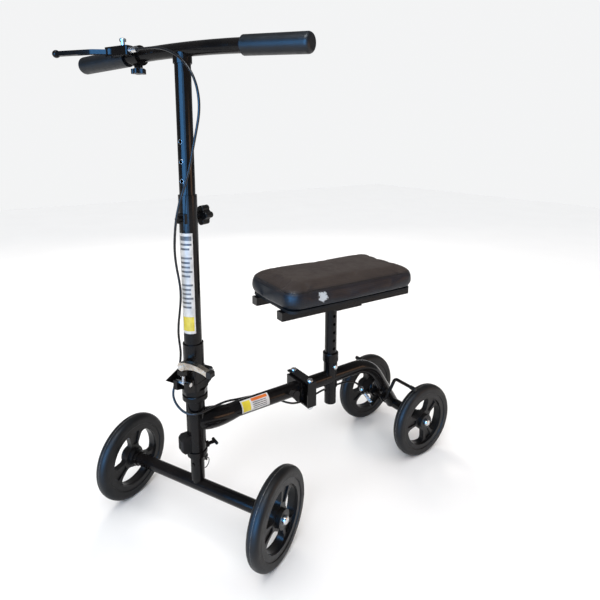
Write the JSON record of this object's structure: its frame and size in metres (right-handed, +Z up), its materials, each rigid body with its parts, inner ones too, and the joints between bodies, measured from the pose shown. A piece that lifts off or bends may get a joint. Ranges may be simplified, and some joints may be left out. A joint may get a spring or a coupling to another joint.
{
  "type": "knee scooter",
  "caption": "Four-wheeled knee scooter with a steering column, handlebar and brake lever, padded knee rest, folding frame and rear brake bar.",
  "frame": {"origin": "on the ground under the middle of the bounding box", "axes": "+Z up, -Y to the front, +X to the rider's left; the front assembly is parked turned 27 degrees to the left"},
  "size_m": [0.5174, 0.9054, 1.062],
  "materials": {
    "frame_paint": "semi-gloss black powder coat",
    "steel": "zinc-plated steel",
    "dark_steel": "bearings with dark seals",
    "cast_lever": "as-cast aluminium",
    "black_plastic": "moulded black plastic",
    "tyre": "smooth solid rubber",
    "grip_rubber": "smooth black rubber",
    "pad_vinyl": "black vinyl over foam",
    "board": "dark plywood",
    "cable_housing": "black plastic cable housing"
  },
  "bodies": {
    "frame_front": {"head_frame": "frame_paint", "headset_cups": "frame_paint", "headset_bearings": "steel", "lock_block": "black_plastic", "cable_steering": "cable_housing", "cable_frame": "cable_housing"},
    "frame_rear": {"rear_frame": "frame_paint", "rear_axle_bolts": "steel", "seat_collar": "frame_paint", "seat_clamp_bolt": "steel", "cable_anchor": "steel", "brake_spring": "steel", "cable_rear": "cable_housing", "cable_fold": "cable_housing", "frame_pivot_bolt": "steel", "catch_bolt": "steel"},
    "frame_latch": {"frame_latch": "frame_paint"},
    "lock_pin": {"lock_pin": "frame_paint"},
    "steering": {"front_axle_frame": "frame_paint", "steerer_tube": "frame_paint", "headset_locknut": "frame_paint", "hinge_base": "frame_paint", "hinge_pivot_bolt": "steel", "front_axle_bolts": "steel", "cable_hinge": "cable_housing"},
    "stem_pin": {"stem_pin": "frame_paint"},
    "column": {"hinge_head": "frame_paint", "column_tube": "frame_paint", "clamp_saddle": "frame_paint", "swing_bolt": "steel", "cable_upper": "cable_housing"},
    "cam_lever": {"cam_lever": "cast_lever", "cam_lever_tip": "black_plastic"},
    "height_knob": {"height_knob": "black_plastic"},
    "handlebar": {"handlebar": "frame_paint", "grip_left": "grip_rubber", "grip_right": "grip_rubber", "lever_bracket": "frame_paint"},
    "brake_lever": {"brake_lever": "frame_paint"},
    "parking_pin": {"parking_pin": "steel"},
    "cable_adjuster": {"cable_adjuster": "steel"},
    "bar_knob": {"bar_knob": "black_plastic"},
    "seat": {"seat_post": "frame_paint", "seat_board": "board", "knee_pad": "pad_vinyl"},
    "rear_brake": {"brake_bar": "frame_paint", "brake_tips": "black_plastic"},
    "wheel_front_left": {"tyre_front_left": "tyre", "rim_front_left": "black_plastic", "bearings_front_left": "dark_steel"},
    "wheel_front_right": {"tyre_front_right": "tyre", "rim_front_right": "black_plastic", "bearings_front_right": "dark_steel"},
    "wheel_rear_left": {"tyre_rear_left": "tyre", "rim_rear_left": "black_plastic", "bearings_rear_left": "dark_steel"},
    "wheel_rear_right": {"tyre_rear_right": "tyre", "rim_rear_right": "black_plastic", "bearings_rear_right": "dark_steel"}
  },
  "joints": [
    {"name": "steering", "type": "hinge", "parent": "frame_front", "child": "steering", "pos_m": [0, -0.25528, 0.25], "axis": [0, 0, 1], "range_deg": [-72, 18], "deforming": ["cable_steering"]},
    {"name": "wheel_front_left", "type": "hinge", "parent": "steering", "child": "wheel_front_left", "pos_m": [0.18399, -0.16153, 0.1], "axis": [0.891, 0.454, 0], "continuous": true},
    {"name": "wheel_front_right", "type": "hinge", "parent": "steering", "child": "wheel_front_right", "pos_m": [-0.18399, -0.34903, 0.1], "axis": [0.891, 0.454, 0], "continuous": true},
    {"name": "wheel_rear_left", "type": "hinge", "parent": "frame_rear", "child": "wheel_rear_left", "pos_m": [0.113, 0.35272, 0.1], "axis": [1, 0, 0], "continuous": true},
    {"name": "wheel_rear_right", "type": "hinge", "parent": "frame_rear", "child": "wheel_rear_right", "pos_m": [-0.113, 0.35272, 0.1], "axis": [1, 0, 0], "continuous": true},
    {"name": "stem_fold", "type": "hinge", "parent": "steering", "child": "column", "pos_m": [-0.01135, -0.23301, 0.364], "axis": [-0.891, -0.454, 0], "range_deg": [0, 33], "deforming": ["cable_hinge"]},
    {"name": "cam_lever", "type": "hinge", "parent": "column", "child": "cam_lever", "pos_m": [0.01544, -0.28558, 0.397], "axis": [0.454, -0.891, 0], "range_deg": [0, 90]},
    {"name": "handlebar_height", "type": "slide", "parent": "column", "child": "handlebar", "axis": [0, 0, 1], "range_m": [-0.195, 0], "deforming": ["cable_upper"]},
    {"name": "height_knob", "type": "hinge", "parent": "column", "child": "height_knob", "pos_m": [-0.01816, -0.21964, 0.706], "axis": [-0.454, 0.891, 0], "range_deg": [0, 720]},
    {"name": "brake_lever", "type": "hinge", "parent": "handlebar", "child": "brake_lever", "pos_m": [-0.1258, -0.35641, 1.038], "axis": [0, 0, -1], "range_deg": [0, 18], "stiffness_Nm_per_rad": 1.5},
    {"name": "parking_pin", "type": "slide", "parent": "handlebar", "child": "parking_pin", "axis": [0, 0, -1], "range_m": [0, 0.005], "stiffness_N_per_m": 300},
    {"name": "cable_adjuster", "type": "hinge", "parent": "handlebar", "child": "cable_adjuster", "pos_m": [-0.06877, -0.32736, 1.038], "axis": [0.891, 0.454, 0], "range_deg": [0, 720]},
    {"name": "bar_knob", "type": "hinge", "parent": "handlebar", "child": "bar_knob", "pos_m": [-0.10514, -0.30885, 1.00106], "axis": [0, 0, 1], "range_deg": [0, 360]},
    {"name": "stem_pin", "type": "slide", "parent": "steering", "child": "stem_pin", "axis": [-0.454, 0.891, 0], "range_m": [0, 0.045], "stiffness_N_per_m": 150},
    {"name": "lock_pin", "type": "slide", "parent": "frame_front", "child": "lock_pin", "axis": [0, 1, 0], "range_m": [0, 0.008], "stiffness_N_per_m": 400},
    {"name": "frame_fold", "type": "hinge", "parent": "frame_front", "child": "frame_rear", "pos_m": [-0.036, 0.02772, 0.248], "axis": [0, 0, 1], "range_deg": [0, 100], "deforming": ["cable_fold"]},
    {"name": "frame_latch", "type": "hinge", "parent": "frame_front", "child": "frame_latch", "pos_m": [0.022, -0.00728, 0.248], "axis": [1, 0, 0], "range_deg": [0, 25]},
    {"name": "seat_height", "type": "slide", "parent": "frame_rear", "child": "seat", "axis": [0, 0, 1], "range_m": [-0.075, 0.015]},
    {"name": "rear_brake", "type": "hinge", "parent": "frame_rear", "child": "rear_brake", "pos_m": [0, 0.29467, 0.13981], "axis": [-1, 0, 0], "range_deg": [0, 1.75], "deforming": ["brake_spring"]}
  ],
  "couplings": [
    {"joint": "rear_brake", "follows": "brake_lever", "ratio": 0.0972}
  ]
}
